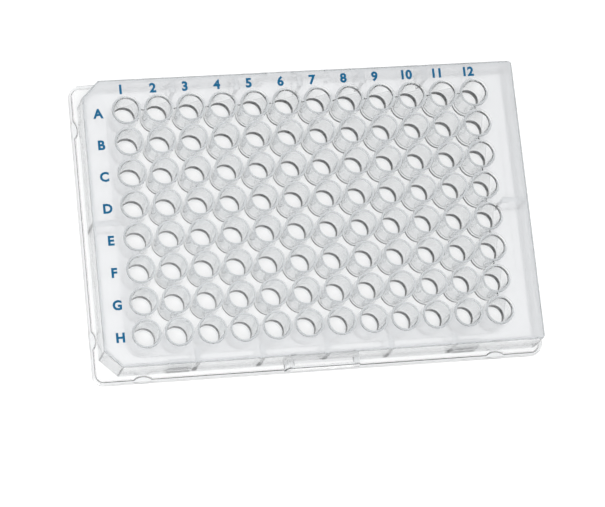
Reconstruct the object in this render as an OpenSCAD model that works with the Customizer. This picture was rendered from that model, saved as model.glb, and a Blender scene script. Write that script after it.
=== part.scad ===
// Well plate: a clear moulded tray of 96 flat-bottomed wells in 8 rows and 12 columns.
// The wells are separate tubes that stand on one low web, and only the outer ones meet the deck.
// One moulded piece. Lengths in millimetres, +Z up, origin under the middle of the base.
// Column 1 is at -X and row A is at +Y, so the wells open upwards.

/* [Plate] */

// Length of the foot, the longest size of the plate
plate_length = 127.76; // [90:0.01:200]
// Width of the foot
plate_width = 85.48; // [60:0.01:140]
// Height from the table to the top of the well rims
plate_height = 14.35; // [10:0.05:24]
// Radius of the foot's corners
foot_corner = 3.2; // [1:0.1:6]

/* [Wells] */

// Distance between the middles of neighbouring wells
well_pitch = 9; // [6:0.1:14]
// Distance from the ends of the foot to the nearest row of well middles, at least
end_margin = 14.3; // [10:0.1:24]
// Distance from the sides of the foot to the nearest column of well middles, at least
side_margin = 11.2; // [9:0.1:20]
// Inside diameter of a well at its mouth
mouth_diameter = 6.9; // [3:0.05:11]
// Inside diameter of a well just above its floor
floor_diameter = 6.6; // [2.5:0.05:10]
// How far a well's wall curves in to meet its floor
floor_corner = 0.85; // [0.2:0.05:1.1]
// Height above the floor at which that curve starts
floor_corner_height = 2.5; // [0.3:0.1:3]
// Thickness of a well's wall
well_wall = 0.65; // [0.4:0.05:1.5]
// Height of a well's rim above the deck
rim_rise = 0.35; // [0.1:0.05:1]
// Thickness of the web that joins the tubes and closes the wells
web_thickness = 1.2; // [0.8:0.1:2.5]
// Clearance between the web and the table
web_clearance = 2.2; // [1.8:0.1:4]
// How far the web reaches past the outer wells
web_margin = 0.4; // [0.1:0.05:0.6]

/* [Deck and skirt] */

// Thickness of the flat deck that runs round the block of wells
deck_thickness = 1.3; // [0.8:0.1:2.5]
// Thickness of the skirt's wall
skirt_wall = 0.9; // [0.6:0.1:2]
// How far the deck's edge stands in from the foot at the ends and sides
deck_inset = 2.35; // [1.5:0.05:4]
// How far the skirt leans out from the deck down to the foot
skirt_lean = 0.4; // [0.1:0.05:1]
// Size of the two cut corners beside column 1
corner_cut = 4.6; // [1:0.1:8]
// Radius of the deck's two plain corners
deck_corner = 0.8; // [0.3:0.1:3]

/* [Foot] */

// Height of the foot's flange
foot_height = 2.5; // [1.5:0.1:5]
// How far the foot's outer faces lean in towards the top
foot_lean = 0.12; // [0.02:0.02:0.4]
// Thickness of the foot's upright wall
foot_wall = 0.8; // [0.5:0.1:1.5]
// Thickness of the foot's flat ledge
ledge_thickness = 0.9; // [0.5:0.1:1.5]
// Height of the raised part of the foot at the middle of each long side
raised_height = 6.4; // [3:0.1:9]
// Length of the raised part along its top
raised_length = 20; // [5:0.5:30]
// Length of each sloping end of the raised part
raised_slope = 1.2; // [0.3:0.1:4]
// Width of each grip pad inside the foot's wall
pad_width = 5.2; // [2:0.1:8]
// How far each grip pad stands inwards
pad_depth = 1; // [0.3:0.1:1.2]
// Distance from the plate's middle to the pads on the long sides
long_pad_place = 50; // [10:0.5:55]
// Distance from the plate's middle to the pads on the short sides
short_pad_place = 30; // [5:0.5:35]

/* [Ribs and pads] */

// Thickness of the ribs behind the skirt
rib_thickness = 1.2; // [0.6:0.1:2]
// Distance between neighbouring ribs, counted in wells
rib_step = 2; // [1:1:4]
// Gap left between a rib and the wells beside it
rib_gap = 0.8; // [0.3:0.1:1.5]
// Height of the ribs' lower edge above the table
rib_clearance = 2.6; // [1:0.1:6]
// Width of the stiffening pads on the long sides, in front of the wells next to the ends
stiff_width = 6.4; // [3:0.1:9]
// Height of the stiffening pads' top above the table
stiff_top = 9.5; // [4:0.5:12]
// How far the stiffening pads stand inwards from the skirt
stiff_depth = 1.2; // [0.4:0.1:2]
// Width of the two thicker panels under the deck at the end away from column 1
panel_width = 4.9; // [2:0.1:6]
// Length of each panel
panel_length = 20; // [8:0.5:24]
// How much thicker the deck is at the panels
panel_step = 0.2; // [0.1:0.05:0.5]

/* [Hidden] */

$fn = 96;
// Overlap that makes two shapes one solid
lap = 0.02;
// Reach of a tool that cuts past a face
past = 5;
// Spare length that keeps a count from falling one short
count_slack = 0.001;
// Clearance kept between neighbouring wells, however wide they are asked to be
least_gap = 0.4;
// Smallest amount by which a well narrows towards its floor
least_taper = 0.05;

columns = floor((plate_length - 2 * end_margin) / well_pitch + count_slack) + 1;
rows = floor((plate_width - 2 * side_margin) / well_pitch + count_slack) + 1;
mouth_r = min(mouth_diameter, well_pitch - 2 * well_wall - least_gap) / 2;
floor_r = min(floor_diameter / 2, mouth_r - least_taper);
tube_r = mouth_r + well_wall;
floor_z = web_clearance + web_thickness;
block_length = (columns - 1) * well_pitch;
block_width = (rows - 1) * well_pitch;
first_x = -block_length / 2;
first_y = -block_width / 2;
deck_top = plate_height - rim_rise;
deck_bottom = deck_top - deck_thickness;
deck_length = plate_length - 2 * deck_inset;
deck_width = plate_width - 2 * deck_inset;
lean_angle = atan(skirt_lean / deck_top);
ledge_bottom = foot_height - ledge_thickness;
pad_r = (pad_width * pad_width / 4 + pad_depth * pad_depth) / (2 * pad_depth);

// A block with round corners whose four sides lean in by the same amount towards the top
module leaning_block(length, width, corner, height, lean)
{
  straight_x = length - 2 * corner;
  straight_y = width - 2 * corner;
  rotate([90, 0, 0])
    linear_extrude(height = straight_y, center = true)
      polygon([
        [-length / 2, 0],
        [length / 2, 0],
        [length / 2 - lean, height],
        [lean - length / 2, height]
      ]);
  rotate([90, 0, 90])
    linear_extrude(height = straight_x, center = true)
      polygon([
        [-width / 2, 0],
        [width / 2, 0],
        [width / 2 - lean, height],
        [lean - width / 2, height]
      ]);
  for (x = [-straight_x / 2, straight_x / 2])
    for (y = [-straight_y / 2, straight_y / 2])
      translate([x, y, 0])
        cylinder(h = height, r1 = corner, r2 = corner - lean);
}

// What is cut away at the two corners beside column 1, set in from the skirt's outside by a distance
module corner_cuts(inset)
{
  reach = (deck_length / 2 + deck_width / 2 - corner_cut) / sqrt(2) - inset;
  for (turn = [135, 225])
    rotate([0, 0, turn])
      translate([reach, 0, deck_top])
        rotate([0, -lean_angle, 0])
          translate([0, -plate_width, -2 * plate_height])
            cube([plate_length, 2 * plate_width, 3 * plate_height]);
}

// The skirt's shape, taken in from its outside by a distance and cut off at a height
module skirt_block(inset, height)
{
  lean = skirt_lean * height / deck_top;
  difference()
  {
    leaning_block(
      deck_length + 2 * skirt_lean - 2 * inset,
      deck_width + 2 * skirt_lean - 2 * inset,
      max(deck_corner + skirt_lean - inset, lean + lap),
      height,
      lean
    );
    corner_cuts(inset);
  }
}

// The foot's flange as a filled block
module foot_block()
{
  leaning_block(plate_length, plate_width, foot_corner, foot_height, foot_lean);
}

// The hollow under the foot's ledge
module foot_hollow()
{
  translate([0, 0, -past])
    leaning_block(
      plate_length - 2 * foot_wall,
      plate_width - 2 * foot_wall,
      foot_corner - foot_wall,
      ledge_bottom + past,
      foot_lean
    );
}

// The raised part of the foot, from one long side to the other, taken in by a distance
module raised_bar(inset, height, width)
{
  top = raised_length / 2 - inset;
  rotate([90, 0, 0])
    linear_extrude(height = width, center = true)
      polygon([
        [-top - raised_slope, 0],
        [top + raised_slope, 0],
        [top, height],
        [-top, height]
      ]);
}

// Lens-shaped pads inside the foot's upright wall
module grip_pads()
{
  out_x = plate_length / 2 - foot_wall - pad_depth + pad_r;
  out_y = plate_width / 2 - foot_wall - pad_depth + pad_r;
  intersection()
  {
    foot_block();
    union()
    {
      for (x = [-long_pad_place, long_pad_place])
        for (y = [-out_y, out_y])
          translate([x, y, 0])
            cylinder(h = foot_height, r = pad_r);
      for (x = [-out_x, out_x])
        for (y = [-short_pad_place, short_pad_place])
          translate([x, y, 0])
            cylinder(h = foot_height, r = pad_r);
    }
  }
}

// Upright ribs between the skirt and the wells
module ribs()
{
  side_reach = -first_y + tube_r + rib_gap;
  end_reach = -first_x + tube_r + rib_gap;
  rib_height = deck_bottom + lap - rib_clearance;
  side_length = deck_width / 2 - skirt_wall / 2 - side_reach;
  end_length = deck_length / 2 - skirt_wall / 2 - end_reach;
  for (i = [rib_step:rib_step:columns - 1])
    for (side = [-1, 1])
      translate([
        first_x + (i - 1 / 2) * well_pitch - rib_thickness / 2,
        side * (side_reach + side_length / 2) - side_length / 2,
        rib_clearance
      ])
        cube([rib_thickness, side_length, rib_height]);
  for (side = [-1, 1])
    translate([
      side * (end_reach + end_length / 2) - end_length / 2,
      -rib_thickness / 2,
      rib_clearance
    ])
      cube([end_length, rib_thickness, rib_height]);
}

// Flat pads that thicken the long sides of the skirt
module stiff_pads()
{
  depth = stiff_depth + skirt_wall / 2;
  face = deck_width / 2 - skirt_wall / 2;
  for (x = [first_x + well_pitch, -first_x - well_pitch])
    for (side = [-1, 1])
      translate([x - stiff_width / 2, side * (face - depth / 2) - depth / 2, 0])
        cube([stiff_width, depth, stiff_top]);
}

// Two thicker panels under the deck, at the end away from column 1
module panels()
{
  gap = rib_thickness / 2 + lap;
  for (y = [gap, -gap - panel_length])
    translate([
      deck_length / 2 - skirt_wall - panel_width,
      y,
      deck_bottom - panel_step
    ])
      cube([panel_width, panel_length, panel_step + lap]);
}

// The opening in the deck over the block of wells, from the outer wells' middles inwards
module deck_opening()
{
  translate([-block_length / 2, -block_width / 2, deck_bottom - past])
    cube([block_length, block_width, deck_thickness + 2 * past]);
}

// The web under the wells, with round corners that follow the corner wells
module web()
{
  reach = tube_r + web_margin;
  translate([0, 0, web_clearance])
    union()
    {
      translate([-block_length / 2 - reach, -block_width / 2, 0])
        cube([block_length + 2 * reach, block_width, web_thickness]);
      translate([-block_length / 2, -block_width / 2 - reach, 0])
        cube([block_length, block_width + 2 * reach, web_thickness]);
      for (x = [-block_length / 2, block_length / 2])
        for (y = [-block_width / 2, block_width / 2])
          translate([x, y, 0])
            cylinder(h = web_thickness, r = reach);
    }
}

// One well's outside: a tube that stands on the web
module tube()
{
  translate([0, 0, floor_z - web_thickness / 2])
    cylinder(h = plate_height - floor_z + web_thickness / 2, r = tube_r);
}

// One well's inside, open at the top, with a flat floor and a rounded corner round it
module bore()
{
  corner_z = floor_z + floor_corner_height;
  slope = (mouth_r - floor_r) / (plate_height - corner_z);
  rotate_extrude()
    union()
    {
      polygon([
        [0, floor_z],
        [floor_r - floor_corner, floor_z],
        [floor_r - floor_corner, corner_z],
        [floor_r, corner_z],
        [mouth_r + slope * past, plate_height + past],
        [0, plate_height + past]
      ]);
      translate([floor_r - floor_corner, corner_z])
        scale([floor_corner, floor_corner_height])
          circle(r = 1);
    }
}

module at_each_well()
{
  for (i = [0:columns - 1])
    for (j = [0:rows - 1])
      translate([first_x + i * well_pitch, first_y + j * well_pitch, 0])
        children();
}

module plate()
{
  color([0.93, 0.95, 0.97])
    difference()
    {
      union()
      {
        difference()
        {
          union()
          {
            foot_block();
            skirt_block(0, deck_top);
            raised_bar(0, raised_height, plate_width - 2 * foot_lean);
          }
          foot_hollow();
          raised_bar(foot_wall, raised_height - ledge_thickness, plate_width - 2 * foot_wall);
          skirt_block(skirt_wall, deck_bottom);
          deck_opening();
        }
        web();
        grip_pads();
        ribs();
        stiff_pads();
        panels();
        at_each_well() tube();
      }
      at_each_well() bore();
    }
}

plate();
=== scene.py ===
import math

import bmesh
import bpy
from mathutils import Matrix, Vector


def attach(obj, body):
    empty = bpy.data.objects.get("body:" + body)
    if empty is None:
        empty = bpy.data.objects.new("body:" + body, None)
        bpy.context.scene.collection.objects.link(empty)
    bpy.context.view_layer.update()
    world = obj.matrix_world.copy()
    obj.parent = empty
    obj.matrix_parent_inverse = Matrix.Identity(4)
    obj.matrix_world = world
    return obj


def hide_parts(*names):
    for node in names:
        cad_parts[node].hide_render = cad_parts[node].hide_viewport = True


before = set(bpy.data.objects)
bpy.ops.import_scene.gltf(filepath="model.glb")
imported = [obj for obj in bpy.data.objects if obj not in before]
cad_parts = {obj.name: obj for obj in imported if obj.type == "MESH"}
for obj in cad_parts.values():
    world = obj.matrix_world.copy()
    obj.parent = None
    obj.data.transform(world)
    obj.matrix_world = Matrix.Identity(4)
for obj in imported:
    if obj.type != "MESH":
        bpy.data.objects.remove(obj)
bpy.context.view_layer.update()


# ----------------------------------------------------------------------------------------
# Foot: the flange that the plate stands on, in clear polystyrene. It is moulded in one shot
# with everything above it, and has a flat ledge round its top.

mm = 0.001
same_place = 0.0001
same_height = 0.0005
plate_length = 127.76
plate_width = 85.48
plate_height = 14.35
foot_height = 2.5
foot_lean = 0.12
foot_corner = 3.2
foot_edge = 0.22


def deselect_all():
    """Leaves edit mode with nothing selected."""
    if bpy.context.object and bpy.context.object.mode != "OBJECT":
        bpy.ops.object.mode_set(mode="OBJECT")
    bpy.ops.object.select_all(action="DESELECT")


def select(piece, kind, wanted):
    """Selects the vertices, edges or faces of a piece in edit mode that pass a test."""
    bpy.ops.mesh.select_mode(type=kind)
    bpy.ops.mesh.select_all(action="DESELECT")
    shape = bmesh.from_edit_mesh(piece.data)
    parts = {"VERT": shape.verts, "EDGE": shape.edges, "FACE": shape.faces}[kind]
    for part in parts:
        if wanted(part):
            part.select_set(True)
    bmesh.update_edit_mesh(piece.data)


def all_at_height(part, height):
    """Tests whether an edge or a face lies flat at a height."""
    return all(abs(v.co.z - height * mm) < same_height * mm for v in part.verts)


def slab(name, length, width, low, rise, lean, corners, edge=0.0):
    """A flat block whose sides lean in by the same amount, and whose top edge may be rounded.
    Its corners are shaped in turn, each by a test for its place, a size and a number of steps:
    one step cuts a corner off straight."""
    deselect_all()
    bpy.ops.mesh.primitive_plane_add(size=1, location=(0, 0, 0))
    piece = bpy.context.object
    piece.name = name
    middle = (0, 0, 0)
    half_x, half_y = length * mm / 2, width * mm / 2
    near = same_place * mm
    bpy.ops.object.mode_set(mode="EDIT")
    bpy.ops.transform.resize(value=(length * mm, width * mm, 1), center_override=middle)
    bpy.ops.transform.translate(value=(0, 0, low * mm))
    for place, size, steps in corners:
        select(
            piece,
            "VERT",
            lambda v: abs(abs(v.co.x) - half_x) < near
            and abs(abs(v.co.y) - half_y) < near
            and place(v.co),
        )
        bpy.ops.mesh.bevel(offset=size * mm, segments=steps, affect="VERTICES", profile=0.5)
    bpy.ops.mesh.select_all(action="SELECT")
    bpy.ops.mesh.extrude_region_move(TRANSFORM_OT_translate={"value": (0, 0, rise * mm)})
    top = ((length - 2 * lean) / length, (width - 2 * lean) / width, 1)
    bpy.ops.transform.resize(value=top, center_override=middle)
    if edge:
        select(piece, "EDGE", lambda e: all_at_height(e, low + rise))
        bpy.ops.mesh.bevel(offset=edge * mm, segments=3, affect="EDGES", profile=0.5)
    bpy.ops.mesh.select_all(action="SELECT")
    bpy.ops.mesh.normals_make_consistent(inside=False)
    bpy.ops.object.mode_set(mode="OBJECT")
    return piece


def anywhere(place):
    return True


plate = slab(
    "plate_moulding",
    plate_length,
    plate_width,
    0,
    foot_height,
    foot_lean,
    [(anywhere, foot_corner, 8)],
    foot_edge,
)


# ----------------------------------------------------------------------------------------
# Skirt and deck: the thin leaning wall that rises from the foot, and the flat frame on top of
# it. The two corners beside column 1 are cut off straight, so that the plate can't be loaded
# the wrong way round. The mould leaves a small radius all round the deck.

rim_rise = 0.35
deck_top = plate_height - rim_rise
deck_inset = 2.35
deck_length = plate_length - 2 * deck_inset
deck_width = plate_width - 2 * deck_inset
deck_edge = 0.2
skirt_lean = 0.4
corner_cut = 4.9
small_corner = 1.2
sunk = 0.5


def beside_column_1(place):
    return place.x < 0


def away_from_column_1(place):
    return place.x > 0


def take(piece):
    """Makes a piece the only selected and active one."""
    deselect_all()
    piece.select_set(True)
    bpy.context.view_layer.objects.active = piece


def mould(piece, tool, how):
    """Adds a shape to a piece, or cuts it out of it, and leaves one closed skin."""
    take(piece)
    step = piece.modifiers.new("mould", "BOOLEAN")
    step.operation = how
    step.solver = "EXACT"
    step.object = tool
    bpy.ops.object.modifier_apply(modifier=step.name)
    bpy.data.objects.remove(tool)


skirt = slab(
    "skirt",
    deck_length + 2 * skirt_lean,
    deck_width + 2 * skirt_lean,
    sunk,
    deck_top - sunk,
    skirt_lean,
    [(beside_column_1, corner_cut, 1), (away_from_column_1, small_corner, 4)],
    deck_edge,
)
mould(plate, skirt, "UNION")


# ----------------------------------------------------------------------------------------
# Raised stretches: halfway along each long side the foot's wall and ledge step up, over a
# short slope at each end, to give a robot's gripper a taller face to close on.

raised_height = 6.4
raised_top = 20.0
raised_slope = 1.2


def bar(name, x, y, z, top_slope=0.0):
    """A block between two places on each axis. With a slope, its ends lean in to the top."""
    deselect_all()
    bpy.ops.mesh.primitive_cube_add(size=1, location=(0, 0, 0))
    piece = bpy.context.object
    piece.name = name
    size = ((x[1] - x[0]) * mm, (y[1] - y[0]) * mm, (z[1] - z[0]) * mm)
    middle = ((x[0] + x[1]) / 2 * mm, (y[0] + y[1]) / 2 * mm, (z[0] + z[1]) / 2 * mm)
    bpy.ops.object.mode_set(mode="EDIT")
    bpy.ops.transform.resize(value=size, center_override=(0, 0, 0))
    bpy.ops.transform.translate(value=middle)
    if top_slope:
        half = (x[1] - x[0]) / 2
        select(piece, "VERT", lambda v: v.co.z > middle[2])
        bpy.ops.transform.resize(
            value=((half - top_slope) / half, 1, 1), center_override=(middle[0], 0, 0)
        )
    bpy.ops.object.mode_set(mode="OBJECT")
    return piece


raised = bar(
    "raised_stretch",
    (-raised_top / 2 - raised_slope, raised_top / 2 + raised_slope),
    (-plate_width / 2 + foot_lean, plate_width / 2 - foot_lean),
    (0, raised_height),
    raised_slope,
)
mould(plate, raised, "UNION")


# ----------------------------------------------------------------------------------------
# Underside: the plate is hollow from below, as the mould's core leaves it, with even walls and
# rounded inner edges. Eight lens-shaped pads inside the foot's wall grip the plate that it is
# stacked on.

foot_wall = 0.8
ledge_thickness = 0.9
foot_ceiling = foot_height - ledge_thickness
foot_inner_edge = 0.45
grip_width = 5.2
grip_depth = 1.0
grip_radius = (grip_width**2 / 4 + grip_depth**2) / (2 * grip_depth)
grip_x = plate_length / 2 - foot_wall - grip_depth + grip_radius
grip_y = plate_width / 2 - foot_wall - grip_depth + grip_radius
grip_length = 20
grip_around = 96
long_side_place = 50
short_side_place = 30
skirt_wall = 0.9
deck_thickness = 1.3
deck_bottom = deck_top - deck_thickness
hollow_cut = corner_cut - 0.5
hollow_corner = 0.5
raised_ceiling = raised_height - ledge_thickness
raised_inner_edge = 0.3
past = 5.0
below = 0.2


def soften(piece, height, radius, inset=0.0):
    """Rounds the edges that lie flat at a height, and at least this far inside the foot's
    outline."""
    take(piece)
    bpy.ops.object.mode_set(mode="EDIT")
    half_x, half_y = (plate_length / 2 - inset) * mm, (plate_width / 2 - inset) * mm
    least_turn = 0.5
    select(
        piece,
        "EDGE",
        lambda e: all_at_height(e, height)
        and e.calc_face_angle(0) > least_turn
        and all(abs(v.co.x) < half_x and abs(v.co.y) < half_y for v in e.verts),
    )
    bpy.ops.mesh.bevel(offset=radius * mm, segments=4, affect="EDGES", profile=0.5)
    bpy.ops.object.mode_set(mode="OBJECT")


foot_hollow = slab(
    "foot_hollow",
    plate_length - 2 * foot_wall,
    plate_width - 2 * foot_wall,
    -past,
    past + foot_height - ledge_thickness,
    foot_lean,
    [(anywhere, foot_corner - foot_wall, 8)],
)
for side in (-1, 1):
    for end in (-1, 1):
        for x, y in (
            (long_side_place * side, grip_y * end),
            (grip_x * side, short_side_place * end),
        ):
            deselect_all()
            bpy.ops.mesh.primitive_cylinder_add(
                vertices=grip_around,
                radius=grip_radius * mm,
                depth=grip_length * mm,
                location=(x * mm, y * mm, 0),
            )
            grip = bpy.context.object
            bpy.ops.object.transform_apply(location=True, rotation=True, scale=True)
            mould(foot_hollow, grip, "DIFFERENCE")
soften(foot_hollow, foot_ceiling, foot_inner_edge)
mould(plate, foot_hollow, "DIFFERENCE")

skirt_hollow = slab(
    "skirt_hollow",
    deck_length + 2 * skirt_lean - 2 * skirt_wall,
    deck_width + 2 * skirt_lean - 2 * skirt_wall,
    -below,
    deck_bottom + below,
    skirt_lean,
    [(beside_column_1, hollow_cut, 1), (away_from_column_1, hollow_corner, 3)],
)
raised_hollow = bar(
    "raised_hollow",
    (-raised_top / 2 - raised_slope + foot_wall, raised_top / 2 + raised_slope - foot_wall),
    (-plate_width / 2 + foot_wall, plate_width / 2 - foot_wall),
    (-past, raised_ceiling),
    raised_slope * (past + raised_height - ledge_thickness) / raised_height,
)
soften(raised_hollow, raised_ceiling, raised_inner_edge)


# ----------------------------------------------------------------------------------------
# Stiffening inside the skirt: upright ribs between every second pair of columns and one at
# each end, two flat pads that back up the front wall, and two slightly thicker panels under
# the deck beside column 12. All of them come out of the same mould, as part of the plate.

well_pitch = 9.0
columns = 12
rows = 8
first_x = -(columns - 1) * well_pitch / 2
first_y = -(rows - 1) * well_pitch / 2
rib_half = 0.6
rib_low = 2.6
rib_reach_x = 54.4
rib_reach_y = 36.4
skirt_middle_x = (deck_length - skirt_wall) / 2
skirt_middle_y = (deck_width - skirt_wall) / 2
into_deck = 0.3
under_deck_edge = 0.4
foot_lower_edge = 0.34
panel_depth = 4.9
panel_step = 0.2
panel_start = 0.62
panel_end = 20.62
pad_half = 3.2
pad_reach = 1.65
pad_low = 0.9
pad_high = 9.5


def outwards(side, near, far):
    """A stretch between two distances from the middle, on one side of it."""
    return tuple(sorted((side * near, side * far)))


for tool in (skirt_hollow, raised_hollow):
    for side in (-1, 1):
        for column in range(2, columns, 2):
            x = first_x + (column - 0.5) * well_pitch
            rib = bar(
                "rib",
                (x - rib_half, x + rib_half),
                outwards(side, rib_reach_y, skirt_middle_y),
                (rib_low, deck_bottom + into_deck),
            )
            mould(tool, rib, "DIFFERENCE")
        rib = bar(
            "rib",
            outwards(side, rib_reach_x, skirt_middle_x),
            (-rib_half, rib_half),
            (rib_low, deck_bottom + into_deck),
        )
        mould(tool, rib, "DIFFERENCE")
soften(skirt_hollow, deck_bottom, under_deck_edge)
mould(plate, skirt_hollow, "DIFFERENCE")
mould(plate, raised_hollow, "DIFFERENCE")
soften(plate, 0, foot_lower_edge, foot_wall / 2)

for side in (-1, 1):
    panel = bar(
        "panel",
        (deck_length / 2 - skirt_wall - panel_depth, deck_length / 2 - sunk),
        outwards(side, panel_start, panel_end),
        (deck_bottom - panel_step, deck_bottom + into_deck),
    )
    mould(plate, panel, "UNION")
    x = side * (first_x + well_pitch)
    pad = bar(
        "pad",
        (x - pad_half, x + pad_half),
        outwards(-1, skirt_middle_y - pad_reach, skirt_middle_y),
        (pad_low, pad_high),
    )
    mould(plate, pad, "UNION")


# ----------------------------------------------------------------------------------------
# Wells: 96 clear tubes with flat floors, 9 mm apart. They stand apart from each other on one
# low web, and only the outermost ones meet the deck, which leaves open gaps between them.
# Every rim stands a little proud of the deck and has fine rounded edges.

web_low = 2.2
floor_height = 3.4
floor_radius = 3.3
floor_rounding = 0.85
rounding_height = 2.5
rounding_steps = 7
mouth_radius = 3.45
tube_radius = 4.1
tube_lean = 0.05
tube_top = tube_radius - tube_lean
rim_edge = 0.1
rim_step = 0.3 * rim_edge
web_margin = 0.4
web_reach = tube_radius + web_margin
seat_radius = (tube_radius + mouth_radius) / 2
seat_length = 4
through = 1
around = 40
crease = 28


def turned(name, x, y, profile):
    """A skin of rings, from a profile of radius and height that ends in the middle."""
    deselect_all()
    radius, height = profile[0]
    bpy.ops.mesh.primitive_circle_add(
        vertices=around, radius=radius * mm, location=(x * mm, y * mm, height * mm)
    )
    piece = bpy.context.object
    piece.name = name
    bpy.ops.object.transform_apply(location=True, rotation=True, scale=True)
    bpy.ops.object.mode_set(mode="EDIT")
    bpy.ops.mesh.select_all(action="SELECT")
    for (radius, height), (next_radius, next_height) in zip(profile, profile[1:]):
        rise = (next_height - height) * mm
        bpy.ops.mesh.extrude_region_move(TRANSFORM_OT_translate={"value": (0, 0, rise)})
        if next_radius:
            grow = next_radius / radius
            bpy.ops.transform.resize(
                value=(grow, grow, 1), center_override=(x * mm, y * mm, next_height * mm)
            )
        else:
            bpy.ops.mesh.merge(type="CENTER")
    bpy.ops.object.mode_set(mode="OBJECT")
    return piece


def in_a_grid(piece):
    """Repeats a piece over all the wells, starting from the first column of the last row."""
    take(piece)
    for axis, count in ((0, columns), (1, rows)):
        step = piece.modifiers.new("grid", "ARRAY")
        step.count = count
        step.use_relative_offset = False
        step.use_constant_offset = True
        step.constant_offset_displace = [well_pitch * mm if axis == k else 0 for k in range(3)]
        bpy.ops.object.modifier_apply(modifier=step.name)


outside = [
    (tube_radius, floor_height),
    (tube_top, plate_height - rim_edge),
    (tube_top - rim_step, plate_height - rim_step),
    (tube_top - rim_edge, plate_height),
]
inside = [
    (mouth_radius + rim_edge, plate_height),
    (mouth_radius + rim_step, plate_height - rim_step),
    (mouth_radius, plate_height - rim_edge),
]
for step in range(rounding_steps + 1):
    turn = math.pi / 2 * step / rounding_steps
    inside.append(
        (
            floor_radius - floor_rounding * (1 - math.cos(turn)),
            floor_height + rounding_height * (1 - math.sin(turn)),
        )
    )
inside.append((0, floor_height))
wells = turned("wells", first_x, first_y, outside + inside)
in_a_grid(wells)

# The web loses its top face, takes in the tubes, and is filled again between them.
web = slab(
    "web",
    -2 * first_x + 2 * web_reach,
    -2 * first_y + 2 * web_reach,
    web_low,
    floor_height - web_low,
    0,
    [(anywhere, web_reach, 10)],
)
take(web)
bpy.ops.object.mode_set(mode="EDIT")
select(web, "FACE", lambda f: all_at_height(f, floor_height))
bpy.ops.mesh.delete(type="ONLY_FACE")
bpy.ops.object.mode_set(mode="OBJECT")
wells.select_set(True)
bpy.context.view_layer.objects.active = wells
bpy.ops.object.join()
bpy.ops.object.mode_set(mode="EDIT")
select(wells, "EDGE", lambda e: e.is_boundary and all_at_height(e, floor_height))
bpy.ops.mesh.fill(use_beauty=True)
bpy.ops.mesh.select_all(action="SELECT")
bpy.ops.mesh.normals_make_consistent(inside=False)
bpy.ops.object.mode_set(mode="OBJECT")

# The deck is opened over the wells, with a round seat for each of the outermost ones.
opening = bar(
    "opening",
    (first_x, -first_x),
    (first_y, -first_y),
    (deck_bottom - through, deck_top + through),
)
mould(plate, opening, "DIFFERENCE")
deselect_all()
bpy.ops.mesh.primitive_cylinder_add(
    vertices=around,
    radius=seat_radius * mm,
    depth=seat_length * mm,
    location=(first_x * mm, first_y * mm, deck_top * mm),
)
seats = bpy.context.object
bpy.ops.object.transform_apply(location=True, rotation=True, scale=True)
in_a_grid(seats)
mould(plate, seats, "DIFFERENCE")
mould(plate, wells, "UNION")

take(plate)
bpy.ops.object.mode_set(mode="EDIT")
bpy.ops.mesh.select_all(action="SELECT")
bpy.ops.mesh.remove_doubles(threshold=same_height * mm)
bpy.ops.mesh.normals_make_consistent(inside=False)
bpy.ops.object.mode_set(mode="OBJECT")
bpy.ops.object.shade_smooth_by_angle(angle=math.radians(crease))
flats = plate.modifiers.new("flats", "WEIGHTED_NORMAL")
flats.keep_sharp = True
flats.weight = 100
bpy.ops.object.modifier_apply(modifier=flats.name)

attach(plate, "root")
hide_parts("plate")


# ----------------------------------------------------------------------------------------
# Polystyrene: the plate's one material, the clear general-purpose grade. A polished mould
# leaves the wells as clear as glass, with a faint swim from the flow of the melt. A spark-eroded
# face gives the deck a fine and slightly milky frost, and leaves the skirt and the foot dull.
# The deck and the skirt also carry painted shade: a grey in their colour.

# Each finish is how rough the face is, how milky, and how grey its painted shade makes it.
deck_frost_and_painted_shade = Vector((0.16, 0.45, 0.42))
skirt_haze_and_painted_shade = Vector((0.16, 0.0, 0.2))
foot_finish = Vector((0.4, 0.0, 0.0))
swim_length = 7
swim_depth = 0.1
grain_width = 0.12
grain_depth = 0.05


def srgb(code):
    """A linear colour from a hex code."""
    levels = [int(code[k : k + 2], 16) / 255 for k in (1, 3, 5)]
    return [c / 12.92 if c <= 0.04045 else ((c + 0.055) / 1.055) ** 2.4 for c in levels] + [1.0]


def add(tree, kind, sockets=(), **settings):
    """Adds a node with its settings, and returns its outputs. Each of its sockets takes a value,
    or a link from another node's output."""
    node = tree.nodes.new(kind)
    for name, value in settings.items():
        setattr(node, name, value)
    for name, value in dict(sockets).items():
        if isinstance(value, bpy.types.NodeSocket):
            tree.links.new(value, node.inputs[name])
        else:
            node.inputs[name].default_value = value
    return node.outputs


polystyrene = bpy.data.materials.new("crystal_polystyrene")
polystyrene.use_nodes = True
tree = polystyrene.node_tree
body = tree.nodes["Principled BSDF"]
body.inputs["IOR"].default_value = 1.59

place = add(tree, "ShaderNodeTexCoord")["Object"]
own = add(tree, "ShaderNodeSeparateXYZ", {0: place})
away = add(tree, "ShaderNodeVectorMath", {0: place}, operation="ABSOLUTE")[0]
away = add(tree, "ShaderNodeSeparateXYZ", {0: away})
slant = add(tree, "ShaderNodeMath", {0: away["Y"], 1: own["X"]}, operation="SUBTRACT")[0]
spread = add(tree, "ShaderNodeCombineXYZ", {0: away["X"], 1: away["Y"], 2: slant})[0]
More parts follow.
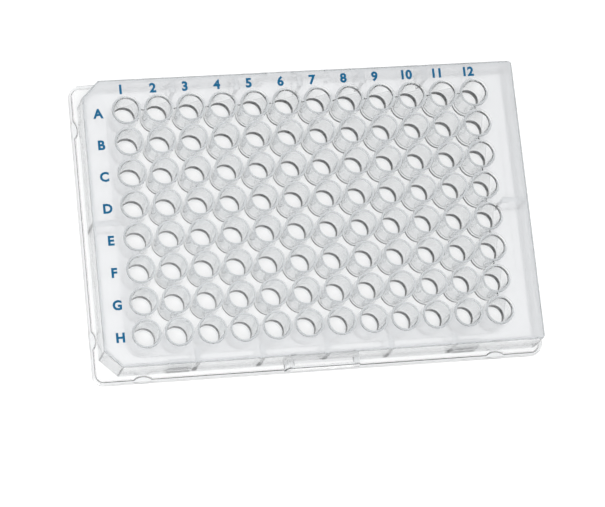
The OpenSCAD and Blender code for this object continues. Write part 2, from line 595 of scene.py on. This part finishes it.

# Each zone lies outside an outline and between two heights. It is given by half the outline's
# length and width, what is cut off its corners beside column 1, the heights, and the finish that
# it adds, whose grey is painted shade. The deck keeps a clear strip at its edge, and the raised
# stretches are clear.
near_top = 0.03
clear_strip = 0.45
strip_at_cut = 0.25
skirt_inset = 1
skirt_at_cut = 0.6
skirt_reach = 0.9
foot_inset = 0.4
on_deck = (deck_top - near_top, deck_top + near_top)
on_skirt = (foot_height + 0.1, deck_top - near_top)
on_foot = (-0.1, foot_height - 0.05)
deck_x, deck_y = deck_length / 2, deck_width / 2
foot_x, foot_y = plate_length / 2, plate_width / 2
cut = corner_cut
finish_and_painted_shade = (0.0, 0.0, 0.0)
for half_x, half_y, cut_off, (low, high), share in (
    (0, 0, 0, on_deck, deck_frost_and_painted_shade),
    (deck_x - clear_strip, deck_y - clear_strip, cut - strip_at_cut, on_deck, -deck_frost_and_painted_shade),
    (deck_x - skirt_inset, deck_y - skirt_inset, cut - skirt_at_cut, on_skirt, skirt_haze_and_painted_shade),
    (plate_length, deck_y + skirt_reach, 0, on_skirt, -skirt_haze_and_painted_shade),
    (foot_x - foot_inset, foot_y - foot_inset, 0.5, on_foot, foot_finish),
):
    limit = Vector((half_x, half_y, half_x + half_y - cut_off)) * mm
    over = add(tree, "ShaderNodeVectorMath", {0: spread, 1: limit}, operation="SUBTRACT")[0]
    over = add(tree, "ShaderNodeSeparateXYZ", {0: over})
    out = add(tree, "ShaderNodeMath", {0: over["X"], 1: over["Y"]}, operation="MAXIMUM")[0]
    out = add(tree, "ShaderNodeMath", {0: out, 1: over["Z"]}, operation="MAXIMUM")[0]
    out = add(tree, "ShaderNodeMath", {0: out, 1: 0.0}, operation="GREATER_THAN")[0]
    between = {0: own["Z"], 1: (low + high) / 2 * mm, 2: (high - low) / 2 * mm}
    level = add(tree, "ShaderNodeMath", between, operation="COMPARE")[0]
    zone = add(tree, "ShaderNodeMath", {0: out, 1: level}, operation="MULTIPLY")[0]
    summed = {0: zone, 1: share, 2: finish_and_painted_shade}
    finish_and_painted_shade = add(tree, "ShaderNodeVectorMath", summed, operation="MULTIPLY_ADD")[0]
finish_and_painted_shade = add(tree, "ShaderNodeSeparateXYZ", {0: finish_and_painted_shade})
haze = finish_and_painted_shade["X"]
tree.links.new(haze, body.inputs["Roughness"])
clear = add(tree, "ShaderNodeMath", {0: 1.0, 1: finish_and_painted_shade["Y"]}, operation="SUBTRACT")[0]
tree.links.new(clear, body.inputs["Transmission Weight"])
# Painted shade: this grey darkens the deck's frost and the skirt's walls in their colour, in
# place of the shade that they take in this light.
painted_shade_greys = {"Factor": finish_and_painted_shade["Z"], 6: srgb("#ffffff"), 7: srgb("#868a92")}
painted_shade_tint = add(tree, "ShaderNodeMix", painted_shade_greys, data_type="RGBA")[2]
tree.links.new(painted_shade_tint, body.inputs["Base Color"])

wave = {"Vector": place, "Scale": 1 / (swim_length * mm), "Detail": 1.0}
wave = add(tree, "ShaderNodeTexNoise", wave)["Fac"]
swim = {"Height": wave, "Strength": 0.06, "Distance": swim_depth * mm}
swim = add(tree, "ShaderNodeBump", swim)["Normal"]

# The real grain of the frost is finer than this one, which is as fine as a close view can show.
grain = {"Vector": place, "Scale": 1 / (grain_width * mm), "Detail": 2.0}
grain = add(tree, "ShaderNodeTexNoise", grain)["Fac"]
pits = add(tree, "ShaderNodeMath", {0: grain, 1: haze}, operation="MULTIPLY")[0]
frost = {"Height": pits, "Normal": swim, "Strength": 0.3, "Distance": grain_depth * mm}
frost = add(tree, "ShaderNodeBump", frost)["Normal"]
tree.links.new(frost, body.inputs["Normal"])

# The lamp's light passes through to the table with a small loss, which grows where it meets
# the plastic at a slant.
glance = add(tree, "ShaderNodeLayerWeight", {"Blend": 0.5})["Facing"]
losses = {"Factor": glance, 6: srgb("#fcfcfc"), 7: srgb("#f6f6f6")}
loss = add(tree, "ShaderNodeMix", losses, data_type="RGBA")[2]
passed = add(tree, "ShaderNodeBsdfTransparent", {"Color": loss})[0]
shadow = add(tree, "ShaderNodeLightPath")["Is Shadow Ray"]
skin = add(tree, "ShaderNodeMixShader", {0: shadow, 1: body.outputs[0], 2: passed})[0]
tree.links.new(skin, tree.nodes["Material Output"].inputs["Surface"])

# Long ways through the plastic turn grey, with a trace of blue.
depth = {"Color": (0.0, 0.08, 0.13, 1.0), "Density": 30.0}
depth = add(tree, "ShaderNodeVolumeAbsorption", depth)[0]
tree.links.new(depth, tree.nodes["Material Output"].inputs["Volume"])
plate.data.materials.clear()
plate.data.materials.append(polystyrene)


# ----------------------------------------------------------------------------------------
# Marks: the column numbers and row letters, pad-printed on the frosted deck in blue ink, and
# set a little to the left of the wells' middles, as the print on these plates often is. The
# ink film is thin and matte, a shade lighter where it is thinner.

ink_thickness = 0.02
mark_height = 2.65
height_of_capitals = 0.73
stroke_gain = 0.15
number_shift = 1.15
number_line = 37.35
number_rise = 0.25
letter_line = -57.4
letter_step = 0.1
letter_shift = 0.8
patch_width = 0.9


def printed(words, x, y):
    """One mark, as a thin film of ink whose middle is at a place on the deck."""
    deselect_all()
    bpy.ops.object.text_add(location=(0, 0, 0))
    mark = bpy.context.object
    mark.data.body = words
    mark.data.size = mark_height / height_of_capitals * mm
    mark.data.align_x = "CENTER"
    mark.data.align_y = "CENTER"
    mark.data.offset = stroke_gain * mm
    mark.data.extrude = ink_thickness / 2 * mm
    mark.data.resolution_u = 3
    bpy.ops.object.convert(target="MESH")
    mark.location = (x * mm, y * mm, (deck_top + ink_thickness / 2) * mm)
    bpy.ops.object.transform_apply(location=True, rotation=True, scale=True)
    bpy.ops.object.mode_set(mode="EDIT")
    bpy.ops.mesh.select_all(action="SELECT")
    bpy.ops.mesh.remove_doubles(threshold=0.001 * mm)
    bpy.ops.mesh.normals_make_consistent(inside=False)
    bpy.ops.object.mode_set(mode="OBJECT")
    return mark


def printed_row(name, marks):
    """Joins marks into one piece of print."""
    films = [printed(*mark) for mark in marks]
    deselect_all()
    for film in films:
        film.select_set(True)
    bpy.context.view_layer.objects.active = films[0]
    bpy.ops.object.join()
    piece = bpy.context.object
    piece.name = name
    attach(piece, "root")
    return piece


ink = bpy.data.materials.new("pad_printing_ink")
ink.use_nodes = True
tree = ink.node_tree
body = tree.nodes["Principled BSDF"]
body.inputs["Roughness"].default_value = 0.55
place = add(tree, "ShaderNodeTexCoord")["Object"]
patch = {"Vector": place, "Scale": 1 / (patch_width * mm), "Detail": 3.0}
patch = add(tree, "ShaderNodeTexNoise", patch)["Fac"]
blues = {"Factor": patch, 6: srgb("#0a486a"), 7: srgb("#186288")}
blue = add(tree, "ShaderNodeMix", blues, data_type="RGBA")[2]
tree.links.new(blue, body.inputs["Base Color"])

# Each row of print runs very slightly askew, as it was set down.
numbers = printed_row(
    "column_numbers",
    [
        (
            str(k + 1),
            first_x + k * well_pitch - number_shift,
            number_line + number_rise * k / (columns - 1),
        )
        for k in range(columns)
    ],
)
letters = printed_row(
    "row_letters",
    [
        (
            "ABCDEFGH"[k],
            letter_line + letter_step * k,
            -first_y - k * well_pitch - letter_shift,
        )
        for k in range(rows)
    ],
)
for piece in (numbers, letters):
    piece.data.materials.clear()
    piece.data.materials.append(ink)


# ----------------------------------------------------------------------------------------
# Studio: a table of uncoated white paper, which shows no reflection, under one soft lamp beside
# the camera, so that the plate throws hardly any shadow. The sky is dark, which draws the dark
# edges of the clear walls, except for a pale patch that lifts the far sides of the wells.

bpy.ops.mesh.primitive_plane_add(size=6, location=(0, 0, -0.2 * mm))
table = bpy.context.object
table.name = "table"
paper = bpy.data.materials.new("white_paper")
paper.use_nodes = True
body = paper.node_tree.nodes["Principled BSDF"]
body.inputs["Base Color"].default_value = (0.9, 0.9, 0.9, 1)
body.inputs["Roughness"].default_value = 0.6
body.inputs["Specular IOR Level"].default_value = 0.2
table.data.materials.append(paper)

light = bpy.data.lights.new("lamp", "AREA")
light.energy = 21.5
light.size = 0.5
lamp = bpy.data.objects.new("lamp", light)
bpy.context.scene.collection.objects.link(lamp)
lamp.location = (-0.23, -0.27, 1.15)
lamp.rotation_euler = (-lamp.location).to_track_quat("-Z", "Y").to_euler()
lamp.visible_glossy = False
lamp.visible_transmission = False

world = bpy.data.worlds.new("world")
bpy.context.scene.world = world
world.use_nodes = True
tree = world.node_tree
pale_side = Vector((-0.45, 0.85, 0.25)).normalized()
looking = add(tree, "ShaderNodeTexCoord")["Generated"]
both = {0: looking, 1: pale_side}
towards = add(tree, "ShaderNodeVectorMath", both, operation="DOT_PRODUCT")["Value"]
spans = {"Value": towards, "From Min": -1.0, "From Max": 1.0}
towards = add(tree, "ShaderNodeMapRange", spans)[0]
ramp = tree.nodes.new("ShaderNodeValToRGB")
tree.links.new(towards, ramp.inputs[0])
stops = [(0.5, 0.01), (0.66, 0.05), (0.8, 0.3), (1.0, 0.5)]
while len(ramp.color_ramp.elements) < len(stops):
    ramp.color_ramp.elements.new(0.5)
for element, (position, level) in zip(ramp.color_ramp.elements, stops):
    element.position = position
    element.color = (level, level, level, 1)

# The camera sees plain white where there is no table.
seen = add(tree, "ShaderNodeLightPath")["Is Camera Ray"]
skies = {"Factor": seen, 6: ramp.outputs[0], 7: (1.0, 1.0, 1.0, 1.0)}
sky = add(tree, "ShaderNodeMix", skies, data_type="RGBA")[2]
tree.links.new(sky, tree.nodes["Background"].inputs["Color"])


# ----------------------------------------------------------------------------------------
# Camera: a long lens from above, a little to the left of the plate and in front of it. Light
# may bounce often, because it crosses many clear walls. Caustics are off, because the plate
# already lets the lamp's light through to the table.

sight = bpy.data.cameras.new("camera")
sight.sensor_width = 36
sight.lens = 156.7
sight.clip_start = 0.01
sight.clip_end = 20
camera = bpy.data.objects.new("camera", sight)
bpy.context.scene.collection.objects.link(camera)
bpy.context.scene.camera = camera
camera.location = (-0.14279, -0.16569, 0.70931)
camera.rotation_euler = (0.2325, -0.1733, -0.1034)

bpy.context.scene.view_settings.view_transform = "Standard"
bounces = bpy.context.scene.cycles
bounces.max_bounces = 24
bounces.glossy_bounces = 24
bounces.transmission_bounces = 24
bounces.transparent_max_bounces = 24
bounces.diffuse_bounces = 3
bounces.caustics_reflective = False
bounces.caustics_refractive = False
